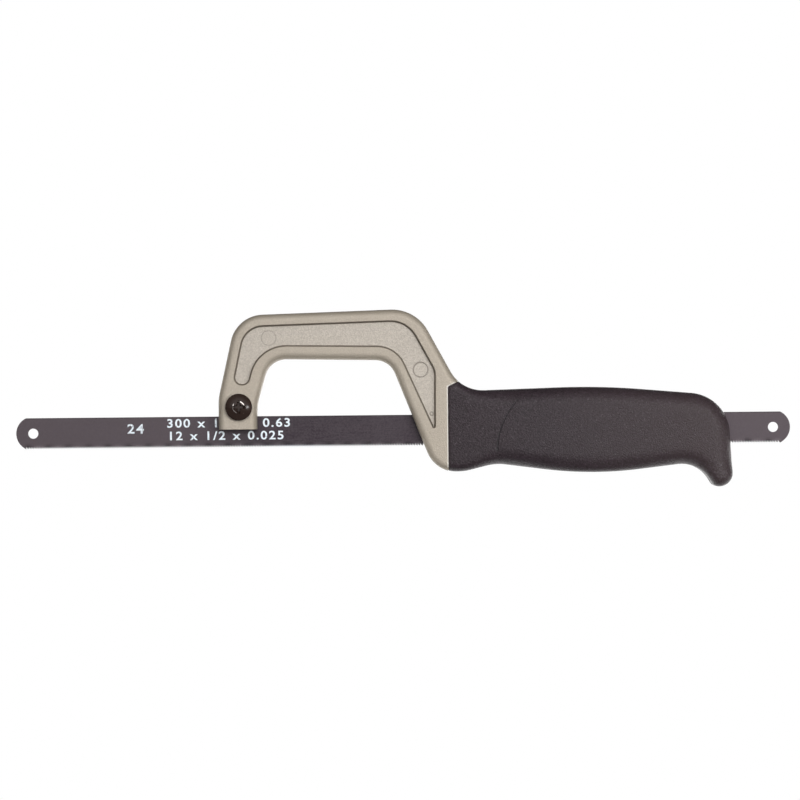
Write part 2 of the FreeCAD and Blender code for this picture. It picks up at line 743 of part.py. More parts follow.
def check_and_write(nodes):
    DOC.recompute()
    for made in DOC.Objects:
        if "Invalid" in made.State or "Error" in made.State:
            raise RuntimeError("%s failed: %s" % (made.Name, made.State))
    for node in nodes:
        if node.Shape.isNull() or not node.Shape.isValid() or not node.Shape.Solids:
            raise RuntimeError("%s has no valid solid" % node.Label)
    os.makedirs("parts", exist_ok=True)
    for node in nodes:
        node.Shape.exportStep("parts/%s.step" % node.Label)
        box = node.Shape.BoundBox
        print("%-18s %2d solids %9.1f mm3  x %7.2f %7.2f  y %6.2f %6.2f  z %6.2f %6.2f"
              % (node.Label, len(node.Shape.Solids), node.Shape.Volume,
                 box.XMin, box.XMax, box.YMin, box.YMax, box.ZMin, box.ZMax))


check_and_write(build_all())
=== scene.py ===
import json
import math

import bmesh
import bpy
import numpy as np
from mathutils import Matrix, Vector
from mathutils.geometry import delaunay_2d_cdt, tessellate_polygon


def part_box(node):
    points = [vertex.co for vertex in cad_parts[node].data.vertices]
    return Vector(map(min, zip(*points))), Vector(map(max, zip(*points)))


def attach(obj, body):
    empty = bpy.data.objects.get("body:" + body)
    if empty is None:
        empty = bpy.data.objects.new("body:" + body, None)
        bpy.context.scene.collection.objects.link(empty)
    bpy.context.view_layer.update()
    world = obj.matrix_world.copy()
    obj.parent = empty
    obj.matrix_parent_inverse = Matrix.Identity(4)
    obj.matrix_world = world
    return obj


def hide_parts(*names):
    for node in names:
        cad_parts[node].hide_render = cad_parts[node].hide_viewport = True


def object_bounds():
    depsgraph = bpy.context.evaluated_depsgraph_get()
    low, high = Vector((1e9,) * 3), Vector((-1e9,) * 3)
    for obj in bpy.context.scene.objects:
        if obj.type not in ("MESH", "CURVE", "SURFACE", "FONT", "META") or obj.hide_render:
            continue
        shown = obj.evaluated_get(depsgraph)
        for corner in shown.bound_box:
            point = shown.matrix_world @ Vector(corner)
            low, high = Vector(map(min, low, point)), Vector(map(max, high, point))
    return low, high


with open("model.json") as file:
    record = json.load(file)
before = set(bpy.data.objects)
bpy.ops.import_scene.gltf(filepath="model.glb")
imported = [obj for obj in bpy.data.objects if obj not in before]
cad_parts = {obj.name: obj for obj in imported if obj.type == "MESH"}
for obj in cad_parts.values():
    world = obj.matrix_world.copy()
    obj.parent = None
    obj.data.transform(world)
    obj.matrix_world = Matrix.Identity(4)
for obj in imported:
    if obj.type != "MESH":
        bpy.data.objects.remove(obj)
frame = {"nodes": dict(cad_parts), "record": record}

cad_box = [list(corner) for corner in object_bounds()]
nodes = frame["nodes"]
record = frame["record"]
MM = 0.001


def mount(name):
    """The record's mount of that name."""
    return [m for m in record["mounts"] if m["name"] == name][0]


def millimetres(node):
    """Lowest and highest corner of a node, in millimetres."""
    low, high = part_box(node)
    return np.array(low) / MM, np.array(high) / MM


FRONT_HOLE = np.array(mount("blade_front_hole")["pos_m"]) / MM
REAR_HOLE = np.array(mount("blade_rear_hole")["pos_m"]) / MM
BLADE_Z = FRONT_HOLE[2]
HALF_BLADE = (REAR_HOLE[0] - FRONT_HOLE[0]) / 2
CREASE_DEG = 32.0               # edges sharper than this stay sharp


# ---------------------------------------------------------------- meshes

def linked(name, data):
    """A new object at the origin, linked to the scene."""
    made = bpy.data.objects.new(name, data)
    bpy.context.scene.collection.objects.link(made)
    return made


def smoothed(mesh, crease_deg=CREASE_DEG):
    """Smooth shading, apart from edges sharper than the crease angle."""
    mesh.polygons.foreach_set("use_smooth", [True] * len(mesh.polygons))
    mesh.set_sharp_from_angle(angle=math.radians(crease_deg))


def placed(name, mesh, crease_deg=CREASE_DEG):
    """Smooths a mesh and links it as an object."""
    smoothed(mesh, crease_deg)
    mesh.update()
    return linked(name, mesh)


def closed_mesh(name, points, faces, crease_deg=CREASE_DEG):
    """An object at the origin from points in millimetres, with its faces turned outwards."""
    points = np.asarray(points, dtype=float)
    faces = [list(map(int, face)) for face in faces]
    fans = np.array([(f[0], f[i], f[i + 1]) for f in faces for i in range(1, len(f) - 1)])
    a, b, c = points[fans[:, 0]], points[fans[:, 1]], points[fans[:, 2]]
    if np.einsum("ij,ij->i", a, np.cross(b, c)).sum() < 0:
        faces = [face[::-1] for face in faces]
    mesh = bpy.data.meshes.new(name)
    mesh.from_pydata((points * MM).tolist(), [], faces)
    return placed(name, mesh, crease_deg)


def rings(rows, columns):
    """Quads of a grid of rows whose columns close round."""
    row = np.arange(rows - 1)[:, None] * columns
    here = np.arange(columns)[None, :]
    ahead = (here + 1) % columns
    return np.stack([row + here, row + ahead, row + columns + ahead, row + columns + here],
                    axis=-1).reshape(-1, 4)


def joined(parts):
    """Several (points, faces) as one."""
    points, faces, first = [], [], 0
    for some, quads in parts:
        points.append(some)
        faces += [[first + i for i in face] for face in quads]
        first += len(some)
    return np.concatenate(points), faces


def tube(section, centre_low, centre_high):
    """Rows of a closed section, rows x columns x 3, with each end closed to a centre point."""
    rows, columns, _ = section.shape
    points = np.concatenate([section.reshape(-1, 3), [centre_low, centre_high]])
    ring = np.arange(columns)
    last = (rows - 1) * columns
    low = [[rows * columns, (i + 1) % columns, i] for i in ring]
    high = [[rows * columns + 1, last + i, last + (i + 1) % columns] for i in ring]
    return points, rings(rows, columns).tolist() + low + high


def inset(loop, distance):
    """A closed loop moved to its left by the distance, with mitred corners."""
    ahead = np.roll(loop, -1, axis=0) - loop
    ahead /= np.linalg.norm(ahead, axis=1)[:, None]
    side = np.stack([-ahead[:, 1], ahead[:, 0]], axis=1)
    mean = side + np.roll(side, 1, axis=0)
    mean /= (mean * side).sum(axis=1)[:, None]
    return loop + mean * distance


def plate(name, loops, low_y, high_y, chamfer):
    """A flat plate across Y. Each loop of (x, z) runs with solid on its left, so the outer one goes
    anticlockwise and holes clockwise; the faces' loops lie one chamfer inside."""
    parts, caps, first = [], [], 0
    for loop in loops:
        inner = inset(loop, chamfer)
        levels = ((inner, low_y), (loop, low_y + chamfer), (loop, high_y - chamfer), (inner, high_y))
        rows = [np.stack([flat[:, 0], np.full(len(flat), y), flat[:, 1]], axis=1) for flat, y in levels]
        parts.append((np.concatenate(rows), rings(4, len(loop)).tolist()))
        caps.append((first, inner))
        first += 4 * len(loop)
    points, faces = joined(parts)
    index = np.concatenate([start + np.arange(len(inner)) for start, inner in caps])
    lift = np.concatenate([np.full(len(inner), 3 * len(inner)) for _, inner in caps])
    flat = np.concatenate([inner for _, inner in caps])
    outlines = [[Vector((x, z, 0.0)) for x, z in inner] for _, inner in caps]
    for face in tessellate_polygon(outlines):
        a, b, c = (flat[i] for i in face)
        if (b[0] - a[0]) * (c[1] - a[1]) - (b[1] - a[1]) * (c[0] - a[0]) < 0:
            face = face[::-1]
        faces.append([index[i] for i in face[::-1]])
        faces.append([index[i] + lift[i] for i in face])
    return closed_mesh(name, points, faces)


def arc(centre, radius, start_deg, end_deg, count):
    """Points along a circle from one angle to another."""
    turn = np.radians(np.linspace(start_deg, end_deg, count))
    return np.stack([centre[0] + radius * np.cos(turn), centre[1] + radius * np.sin(turn)], axis=1)


def smooth_step(value):
    """0 below 0, 1 above 1, and a cubic with level ends between them."""
    value = np.clip(value, 0.0, 1.0)
    return value * value * (3.0 - 2.0 * value)


def evaluated_mesh(source):
    """A mesh of its own made from an object with its modifiers, or from a text."""
    made = source.evaluated_get(bpy.context.evaluated_depsgraph_get())
    return bpy.data.meshes.new_from_object(made)


def corners_of(mesh):
    """A mesh's vertices as rows of x, y, z."""
    flat = np.empty(len(mesh.vertices) * 3)
    mesh.vertices.foreach_get("co", flat)
    return flat.reshape(-1, 3)


def weld(source, target, outwards=False):
    """Writes the source mesh into the target with its doubles merged, and its faces turned outwards
    if asked."""
    work = bmesh.new()
    work.from_mesh(source)
    bmesh.ops.remove_doubles(work, verts=work.verts, dist=1e-7)
    if outwards:
        bmesh.ops.recalc_face_normals(work, faces=work.faces)
    work.to_mesh(target)
    work.free()


def cut_out(piece, cutter, operation="DIFFERENCE"):
    """Takes the cutter's shape out of the piece for good, or keeps only what the two share, and
    deletes the cutter."""
    step = piece.modifiers.new("cut", "BOOLEAN")
    step.operation = operation
    step.solver = "EXACT"
    step.object = cutter
    mesh = evaluated_mesh(piece)
    piece.modifiers.clear()
    piece.data = mesh
    bpy.data.objects.remove(cutter)
    smoothed(mesh)


# ---------------------------------------------------------------- node groups

def new_group(name, inputs, outputs):
    """A shader node group; inputs and outputs are (name, socket type, default or None)."""
    group = bpy.data.node_groups.new(name, "ShaderNodeTree")
    for label, kind, default in inputs:
        socket = group.interface.new_socket(label, in_out="INPUT", socket_type=kind)
        if default is not None:
            socket.default_value = default
    for label, kind in outputs:
        group.interface.new_socket(label, in_out="OUTPUT", socket_type=kind)
    start = group.nodes.new("NodeGroupInput")
    end = group.nodes.new("NodeGroupOutput")
    return group, start, end


def add(tree, kind, **settings):
    """A new node with its settings."""
    node = tree.nodes.new(kind)
    for key, value in settings.items():
        setattr(node, key, value)
    return node


def feed(tree, socket, value):
    """Sets a socket to a number or colour, or wires an output into it."""
    if isinstance(value, (int, float)):
        socket.default_value = value
    elif isinstance(value, tuple):
        socket.default_value = value + (1.0,) * (len(socket.default_value) - len(value))
    else:
        tree.links.new(value, socket)


def noise(tree, vector, scale, detail=3.0):
    """Cloudy noise of about 0.3 to 0.7; scale counts its clouds in a metre."""
    node = add(tree, "ShaderNodeTexNoise")
    feed(tree, node.inputs["Scale"], scale)
    node.inputs["Detail"].default_value = detail
    node.inputs["Roughness"].default_value = 0.6
    feed(tree, node.inputs["Vector"], vector)
    return node.outputs["Fac"]


def spread(tree, value, low, high, to_low=0.0, to_high=1.0):
    """Stretches value from low..high to to_low..to_high, clamped."""
    node = add(tree, "ShaderNodeMapRange", clamp=True)
    for socket, amount in zip(node.inputs[:5], (value, low, high, to_low, to_high)):
        feed(tree, socket, amount)
    return node.outputs["Result"]


def sums(tree, operation, a, b=None, c=None):
    """One arithmetic operation on up to three values."""
    node = add(tree, "ShaderNodeMath", operation=operation)
    for socket, value in zip(node.inputs, (a, b, c)):
        if value is not None:
            feed(tree, socket, value)
    return node.outputs[0]


def mixed(tree, factor, first, second):
    """The first colour moved towards the second by the factor."""
    node = add(tree, "ShaderNodeMix", data_type="RGBA")
    for name, value in (("Factor", factor), ("A", first), ("B", second)):
        feed(tree, [s for s in node.inputs if s.name == name and s.enabled][0], value)
    return [s for s in node.outputs if s.enabled][0]


def stained(tree, face, mask, amount, tone):
    """The face's colour moved towards a tone by a share of the mask."""
    return mixed(tree, sums(tree, "MULTIPLY", mask, amount), face, tone)


def split(tree, vector):
    """The vector's x, y and z."""
    node = add(tree, "ShaderNodeSeparateXYZ")
    feed(tree, node.inputs[0], vector)
    return node.outputs


def grain_group():
    """Speckle: fine grain and broad mottle as masks 0..1, rare specks, and a height for bump."""
    group, start, end = new_group(
        "grain",
        [("Vector", "NodeSocketVector", None), ("Fine", "NodeSocketFloat", 1500.0),
         ("Broad", "NodeSocketFloat", 60.0), ("Speck Limit", "NodeSocketFloat", 0.7)],
        [("Grain", "NodeSocketFloat"), ("Mottle", "NodeSocketFloat"), ("Specks", "NodeSocketFloat"),
         ("Height", "NodeSocketFloat")])
    vector = start.outputs["Vector"]
    grain = spread(group, noise(group, vector, start.outputs["Fine"], 2.0), 0.34, 0.66)
    mottle = spread(group, noise(group, vector, start.outputs["Broad"], 3.0), 0.32, 0.68)
    raw = noise(group, vector, sums(group, "MULTIPLY", start.outputs["Fine"], 0.83), 1.0)
    limit = start.outputs["Speck Limit"]
    specks = spread(group, raw, limit, sums(group, "ADD", limit, 0.05))
    feed(group, end.inputs["Grain"], grain)
    feed(group, end.inputs["Mottle"], mottle)
    feed(group, end.inputs["Specks"], specks)
    feed(group, end.inputs["Height"], sums(group, "MULTIPLY_ADD", mottle, 0.5, grain))
    return group


def parting_group():
    """Mask of the thin line at the mid-plane where two mould halves or two shells meet."""
    group, start, end = new_group(
        "parting", [("Vector", "NodeSocketVector", None), ("Half Width", "NodeSocketFloat", 0.0002)],
        [("Line", "NodeSocketFloat")])
    away = sums(group, "ABSOLUTE", split(group, start.outputs["Vector"])[1])
    width = start.outputs["Half Width"]
    feed(group, end.inputs["Line"], spread(group, away, width, sums(group, "MULTIPLY", width, 0.5)))
    return group


def ring_group():
    """Mask of a thin ring about a line along Y, and of the disc inside it."""
    group, start, end = new_group(
        "ring_mark",
        [("Vector", "NodeSocketVector", None), ("Middle", "NodeSocketVector", None),
         ("Radius", "NodeSocketFloat", 0.003), ("Half Width", "NodeSocketFloat", 0.0002)],
        [("Ring", "NodeSocketFloat"), ("Disc", "NodeSocketFloat")])
    away = add(group, "ShaderNodeVectorMath", operation="SUBTRACT")
    feed(group, away.inputs[0], start.outputs["Vector"])
    feed(group, away.inputs[1], start.outputs["Middle"])
    flat = add(group, "ShaderNodeVectorMath", operation="MULTIPLY")
    feed(group, flat.inputs[0], away.outputs["Vector"])
    flat.inputs[1].default_value = (1.0, 0.0, 1.0)
    size = add(group, "ShaderNodeVectorMath", operation="LENGTH")
    feed(group, size.inputs[0], flat.outputs["Vector"])
    past = sums(group, "SUBTRACT", size.outputs["Value"], start.outputs["Radius"])
    width = start.outputs["Half Width"]
    off = sums(group, "ABSOLUTE", past)
    feed(group, end.inputs["Ring"], spread(group, off, width, sums(group, "MULTIPLY", width, 0.3)))
    feed(group, end.inputs["Disc"], spread(group, past, 0.0, sums(group, "MULTIPLY", width, -1.0)))
    return group


GRAIN = grain_group()
PARTING = parting_group()
RING = ring_group()


# ---------------------------------------------------------------- materials

FLOOR_HALF = 0.0050     # metres from the mid-plane to the frame's sunk floor
FACE_HALF = 0.0070      # and to its face
# Marks in the near recess: x, height above the blade's centre line and radius in mm, and strength.
PIN_MARKS = [(-54.14, 37.82, 2.95, 0.45), (7.27, 24.46, 2.97, 0.9), (11.6, 6.6, 0.7, 0.9)]
# Where the frame meets the grip: the corner of that line, in mm, and the lean of its upper run.
SEAM_CORNER = (18.3, 17.55)
SEAM_LEAN = 25.1
# Directions of the bare-metal crescents on the clamp screw, partly wear and partly painted highlight, and
# half their spread, in degrees.
WORN_GLINT_TOWARDS = [(172.0, 26.0), (228.0, 17.0), (58.0, 40.0)]
WORN_GLINT_RADIUS = 0.00225
# The tooth set's wave, which the painted shade and highlights along the toothed edge follow, in mm.
SET_WAVE = 8.1
BLADE_HALF_TALL = 6.25


def material(name):
    """A new material, its node tree, its shader and the place on the object."""
    made = bpy.data.materials.new(name)
    made.use_nodes = True
    tree = made.node_tree
    tree.nodes.clear()
    out = tree.nodes.new("ShaderNodeOutputMaterial")
    shader = tree.nodes.new("ShaderNodeBsdfPrincipled")
    tree.links.new(shader.outputs["BSDF"], out.inputs["Surface"])
    place = tree.nodes.new("ShaderNodeTexCoord").outputs["Object"]
    return made, tree, shader, place


def grouped(tree, group, place, **values):
    """A node group fed with the place on the object and with values by socket name."""
    node = add(tree, "ShaderNodeGroup", node_tree=group)
    feed(tree, node.inputs["Vector"], place)
    for label, value in values.items():
        feed(tree, node.inputs[label.replace("_", " ")], value)
    return node.outputs


def bump(tree, shader, height, distance, strength=1.0):
    """Roughens the shader's normal by a height that is worth the distance in metres."""
    node = add(tree, "ShaderNodeBump")
    node.inputs["Distance"].default_value = distance
    node.inputs["Strength"].default_value = strength
    feed(tree, node.inputs["Height"], height)
    feed(tree, shader.inputs["Normal"], node.outputs["Normal"])


def facing(tree, low=0.72, high=0.995):
    """Mask of faces that look out along the thickness, 0 on rounded rims and edge faces."""
    normal = tree.nodes.new("ShaderNodeNewGeometry").outputs["Normal"]
    return spread(tree, sums(tree, "ABSOLUTE", split(tree, normal)[1]), low, high)


def pin_marks(tree, place):
    """Masks of the marks that the casting die's pins left in the near recess: rings and discs."""
    ring, disc = 0.0, 0.0
    for x, up, radius, strength in PIN_MARKS:
        mark = grouped(tree, RING, place, Middle=(x * MM, 0.0, (BLADE_Z + up) * MM), Radius=radius * MM,
                       Half_Width=0.00034)
        ring = sums(tree, "MULTIPLY_ADD", mark["Ring"], strength, ring)
        disc = sums(tree, "MULTIPLY_ADD", mark["Disc"], strength, disc)
    near = sums(tree, "LESS_THAN", split(tree, place)[1], 0.0)
    return sums(tree, "MULTIPLY", ring, near), sums(tree, "MULTIPLY", disc, near)


def seam_distance(tree, place):
    """How far a point of the frame lies from the grip's line, in metres."""
    x, _, z = split(tree, place)
    (corner_x, corner_up), lean = SEAM_CORNER, math.radians(SEAM_LEAN)
    ahead = sums(tree, "SUBTRACT", corner_x * MM, x)
    above = sums(tree, "MULTIPLY", sums(tree, "SUBTRACT", z, (BLADE_Z + corner_up) * MM), math.cos(lean))
    over = sums(tree, "MULTIPLY_ADD", ahead, math.sin(lean), above)
    return sums(tree, "MAXIMUM", ahead, over)


def cast_alloy():
    """Champagne-coloured die casting: blasted grain, greyer recess floor, rounded rims and edge faces
    painted darker and browner as painted shade, painted shade on the recess walls, a painted highlight
    on the edges next to the grip, and the marks of the die's pins."""
    made, tree, shader, place = material("cast_alloy")
    grain = grouped(tree, GRAIN, place, Fine=2100.0, Broad=70.0, Speck_Limit=0.68)
    depth = sums(tree, "ABSOLUTE", split(tree, place)[1])
    flat = facing(tree)
    sunk = spread(tree, depth, FLOOR_HALF + 0.0008, FLOOR_HALF + 0.0001)
    floor = sums(tree, "MULTIPLY", sunk, flat)
    face = mixed(tree, floor, (0.485, 0.425, 0.350), (0.565, 0.512, 0.448))
    # Rounded rims and edge faces painted darker and browner: painted shade where they turn away from the
    # light, with a browner tone.
    face = mixed(tree, flat, (0.385, 0.332, 0.262), face)
    face = stained(tree, face, grain["Mottle"], 0.10, (0.62, 0.58, 0.51))
    grit = spread(tree, grain["Grain"], 0.0, 1.0, 0.32, 0.0)
    face = mixed(tree, sums(tree, "MULTIPLY", grit, spread(tree, floor, 0.0, 1.0, 0.55, 1.0)), face,
                 (0.22, 0.195, 0.17))
    face = stained(tree, face, grain["Specks"], 0.20, (0.80, 0.77, 0.72))
    ring, disc = pin_marks(tree, place)
    face = stained(tree, face, disc, 0.10, (0.66, 0.60, 0.53))
    face = stained(tree, face, ring, 0.62, (0.16, 0.135, 0.115))
    # Painted shade on the steep recess walls between the sunk floor and the face.
    wall = sums(tree, "MULTIPLY", spread(tree, depth, FLOOR_HALF + 0.00005, FLOOR_HALF + 0.00015),
                spread(tree, depth, FACE_HALF - 0.00010, FACE_HALF - 0.00025))
    wall = sums(tree, "MULTIPLY", wall, facing(tree, 0.42, 0.30))
    face = stained(tree, face, wall, 0.80, (0.085, 0.070, 0.060))
    # A painted highlight on the frame's edges next to the grip.
    painted_seam_highlight = sums(tree, "MULTIPLY", spread(tree, seam_distance(tree, place), 0.00065, 0.00035),
                  spread(tree, depth, FACE_HALF - 0.0008, FACE_HALF - 0.0004))
    face = stained(tree, face, painted_seam_highlight, 0.8, (0.86, 0.83, 0.77))
    feed(tree, shader.inputs["Base Color"], face)
    feed(tree, shader.inputs["Roughness"], spread(tree, grain["Grain"], 0.0, 1.0, 0.60, 0.46))
    shader.inputs["Metallic"].default_value = 0.3
    line = grouped(tree, PARTING, place, Half_Width=0.00018)["Line"]
    height = sums(tree, "MULTIPLY_ADD", line, 1.2, grain["Height"])
    bump(tree, shader, sums(tree, "MULTIPLY_ADD", ring, -2.0, height), 0.00006, 0.9)
    return made


def flow_line(tree, place):
    """Mask of a faint mould flow line on the grip: a parabola over the height above its foot, faded
    out at both ends."""
    foot_x, foot_z = 0.038, BLADE_Z * MM - 0.008
    middle, half_long = 0.0095, 0.0102
    x, _, z = split(tree, place)
    up = sums(tree, "SUBTRACT", z, foot_z)
    bend = sums(tree, "MULTIPLY_ADD", sums(tree, "MULTIPLY", up, up), 20.5, foot_x)
    away = sums(tree, "ABSOLUTE", sums(tree, "SUBTRACT", x, bend))
    off = sums(tree, "ABSOLUTE", sums(tree, "SUBTRACT", up, middle))
    ends = spread(tree, off, half_long + 0.001, half_long - 0.001)
    return sums(tree, "MULTIPLY", spread(tree, away, 0.0005, 0.0001), ends)


def grip_plastic():
    """Matt black moulded plastic with a violet cast, an eroded grain, a faint flow line, and a rear
    end painted lighter and browner as painted light from the right side."""
    made, tree, shader, place = material("grip_plastic")
    grain = grouped(tree, GRAIN, place, Fine=1650.0, Broad=38.0, Speck_Limit=0.64)
    dust = grouped(tree, GRAIN, place, Fine=1500.0, Broad=300.0, Speck_Limit=0.80)
    face = mixed(tree, grain["Mottle"], (0.0130, 0.0080, 0.0100), (0.0175, 0.0112, 0.0133))
    x, _, _ = split(tree, place)
    # Painted light: the rear end lighter and browner, as light from the right side falls on it.
    face = mixed(tree, spread(tree, x, 0.055, 0.135, 0.0, 0.5), face, (0.064, 0.044, 0.041))
    face = stained(tree, face, grain["Grain"], 0.66, (0.052, 0.035, 0.045))
    face = stained(tree, face, grain["Specks"], 0.30, (0.13, 0.105, 0.12))
    face = stained(tree, face, dust["Specks"], 0.5, (0.30, 0.28, 0.28))
    line = grouped(tree, PARTING, place, Half_Width=0.00016)["Line"]
    flow = flow_line(tree, place)
    face = mixed(tree, sums(tree, "MAXIMUM", line, sums(tree, "MULTIPLY", flow, 0.8)), face,
                 (0.012, 0.010, 0.012))
    feed(tree, shader.inputs["Base Color"], face)
    feed(tree, shader.inputs["Roughness"], spread(tree, grain["Grain"], 0.0, 1.0, 0.50, 0.40))
    groove = sums(tree, "MULTIPLY_ADD", sums(tree, "MAXIMUM", line, flow), -1.4, grain["Grain"])
    bump(tree, shader, groove, 0.00011, 1.0)
    return made


def blade_steel():
    """Dark lacquered spring steel: lengthwise grinding under the lacquer, lighter towards both ends,
    painted shade and painted highlights in waves along the teeth that follow their set, and painted
    shade along the top and toothed edges."""
    made, tree, shader, place = material("blade_steel")
    stretch = add(tree, "ShaderNodeMapping")
    stretch.inputs["Scale"].default_value = (0.05, 1.0, 1.0)
    feed(tree, stretch.inputs["Vector"], place)
    lines = noise(tree, stretch.outputs["Vector"], 2600.0, 4.0)
    grain = grouped(tree, GRAIN, place, Fine=2100.0, Broad=45.0, Speck_Limit=0.70)
    x, _, z = split(tree, place)
    # Lighter towards both ends of the blade, darker in its middle.
    ends = spread(tree, sums(tree, "ABSOLUTE", sums(tree, "ADD", x, 0.02)), 0.040, 0.075)
    face = mixed(tree, ends, (0.024, 0.015, 0.023), (0.082, 0.064, 0.073))
    face = stained(tree, face, grain["Mottle"], 0.22, (0.085, 0.070, 0.080))
    face = mixed(tree, spread(tree, lines, 0.32, 0.68, 0.0, 0.26), face, (0.105, 0.088, 0.098))
    face = stained(tree, face, grain["Grain"], 0.34, (0.11, 0.09, 0.10))
    rim = sums(tree, "SUBTRACT", z, (BLADE_Z - BLADE_HALF_TALL) * MM)
    # Painted shade and painted highlights in waves along the toothed edge, following the set of the teeth.
    wave = sums(tree, "SINE", sums(tree, "MULTIPLY", x, 2 * math.pi / (SET_WAVE * MM)))
    ripple = sums(tree, "MULTIPLY_ADD", noise(tree, place, 380.0, 2.0), 1.3, wave)
    painted_set_shade = sums(tree, "MULTIPLY", spread(tree, ripple, 0.9, 1.7), spread(tree, rim, 0.0022, 0.0008))
    face = stained(tree, face, painted_set_shade, 0.75, (0.012, 0.009, 0.010))
    bright = sums(tree, "MULTIPLY", spread(tree, ripple, 0.6, -0.4), spread(tree, rim, 0.0020, 0.0008))
    face = stained(tree, face, bright, 0.16, (0.24, 0.215, 0.22))
    tall = 2 * BLADE_HALF_TALL * MM
    # Painted shade along the top edge and the toothed edge.
    edge = sums(tree, "MAXIMUM", spread(tree, rim, 0.0007, 0.0002),
                spread(tree, rim, tall - 0.0004, tall - 0.0001))
    face = stained(tree, face, edge, 0.7, (0.014, 0.009, 0.009))
    feed(tree, shader.inputs["Base Color"], face)
    feed(tree, shader.inputs["Roughness"], spread(tree, lines, 0.3, 0.7, 0.34, 0.48))
    shader.inputs["Metallic"].default_value = 0.3
    shader.inputs["Specular IOR Level"].default_value = 0.3
    bump(tree, shader, sums(tree, "MULTIPLY_ADD", grain["Grain"], 0.4, lines), 0.000012, 0.6)
    return made


def worn_glint_edges(tree, place):
    """Mask of bare-metal crescents round the clamp screw's recess, partly where drivers have slipped
    and partly painted highlight where the recess edges glint: a thin ring, kept only in the given
    directions."""
    low, high = millimetres("clamp_screw")
    middle = (Vector(low) + Vector(high)) / 2 * MM
    ring = grouped(tree, RING, place, Middle=tuple(middle), Radius=WORN_GLINT_RADIUS,
                   Half_Width=0.00030)["Ring"]
    x, _, z = split(tree, place)
    kept = 0.0
    for angle, half in WORN_GLINT_TOWARDS:
        turn = math.radians(angle)
        along = sums(tree, "MULTIPLY", sums(tree, "SUBTRACT", x, middle[0]), math.cos(turn))
        along = sums(tree, "MULTIPLY_ADD", sums(tree, "SUBTRACT", z, middle[2]), math.sin(turn), along)
        edge = WORN_GLINT_RADIUS * math.cos(math.radians(half))
        kept = sums(tree, "MAXIMUM", spread(tree, along, edge, edge + 0.0002), kept)
    return sums(tree, "MULTIPLY", ring, kept)


def black_screw():
    """Glossy blackened steel, slightly brown, with handling marks and bare-metal crescents at the
    recess edges, partly wear and partly painted highlight.
    """
    made, tree, shader, place = material("black_screw")
    grain = grouped(tree, GRAIN, place, Fine=900.0, Broad=260.0, Speck_Limit=0.72)
    face = mixed(tree, grain["Mottle"], (0.026, 0.016, 0.013), (0.034, 0.022, 0.018))
    face = stained(tree, face, grain["Specks"], 0.4, (0.12, 0.09, 0.08))
    # Bare-metal crescents at the recess edges: partly wear, partly painted highlight.
    worn_glint = worn_glint_edges(tree, place)
    face = mixed(tree, worn_glint, face, (0.80, 0.74, 0.70))
    feed(tree, shader.inputs["Base Color"], face)
    feed(tree, shader.inputs["Metallic"], worn_glint)
    feed(tree, shader.inputs["Roughness"], spread(tree, grain["Mottle"], 0.0, 1.0, 0.12, 0.18))
    shader.inputs["Specular IOR Level"].default_value = 0.2
    bump(tree, shader, grain["Height"], 0.000008, 0.6)
    return made


def printed_ink():
    """Pale blue-white ink, thin in places so that the grinding shows through."""
    made, tree, shader, place = material("printed_ink")
    grain = grouped(tree, GRAIN, place, Fine=1600.0, Broad=420.0, Speck_Limit=0.62)
    face = mixed(tree, grain["Mottle"], (0.74, 0.82, 0.88), (0.84, 0.90, 0.94))
    face = stained(tree, face, grain["Specks"], 0.55, (0.22, 0.23, 0.27))
    feed(tree, shader.inputs["Base Color"], face)
    feed(tree, shader.inputs["Roughness"], spread(tree, grain["Grain"], 0.0, 1.0, 0.5, 0.7))
    bump(tree, shader, grain["Grain"], 0.00001, 0.5)
    return made


def small_part(name, dark, light, metallic, smooth, rough):
    """A turned, pressed or moulded small part: colour clouds, dark grain and uneven gloss."""
    made, tree, shader, place = material(name)
    grain = grouped(tree, GRAIN, place, Fine=1200.0, Broad=240.0, Speck_Limit=0.68)
    face = mixed(tree, grain["Mottle"], dark, light)
    face = stained(tree, face, grain["Grain"], 0.25, tuple(c * 0.55 for c in dark))
    feed(tree, shader.inputs["Base Color"], face)
    feed(tree, shader.inputs["Roughness"], spread(tree, grain["Grain"], 0.0, 1.0, smooth, rough))
    shader.inputs["Metallic"].default_value = metallic
    bump(tree, shader, grain["Height"], 0.00002, 0.5)
    return made


FINISHES = {
    "cast_alloy": cast_alloy(),
    "grip_plastic": grip_plastic(),
    "blade_steel": blade_steel(),
    "black_screw": black_screw(),
    "jaw_steel": small_part("jaw_steel", (0.16, 0.155, 0.15), (0.24, 0.23, 0.22), 1.0, 0.34, 0.5),
    "cover_alloy": small_part("cover_alloy", (0.46, 0.42, 0.37), (0.55, 0.51, 0.46), 0.6, 0.42, 0.56),
    "plated_steel": small_part("plated_steel", (0.52, 0.52, 0.50), (0.66, 0.66, 0.64), 1.0, 0.2, 0.34),
    "guide_nylon": small_part("guide_nylon", (0.035, 0.035, 0.036), (0.05, 0.05, 0.051), 0.0, 0.5, 0.62),
    "insert_brass": small_part("insert_brass", (0.60, 0.44, 0.20), (0.74, 0.57, 0.29), 1.0, 0.24, 0.38),
    "printed_ink": printed_ink(),
}
NODE_FINISH = {
    "frame": "cast_alloy",
    "blade": "blade_steel",
    "grip_shell_near": "grip_plastic",
    "grip_shell_far": "grip_plastic",
    "clamp_screw": "black_screw",
    "clamp_washer": "black_screw",
    "clamp_jaw": "jaw_steel",
    "screw_stop_ring": "plated_steel",
    "channel_cover": "cover_alloy",
    "cover_screws": "plated_steel",
    "grip_screws": "black_screw",
    "front_blade_guide": "guide_nylon",
    "rear_blade_guide": "guide_nylon",
    "grip_inserts": "insert_brass",
}
for node, finish in NODE_FINISH.items():
    nodes[node].data.materials.clear()
    nodes[node].data.materials.append(FINISHES[finish])


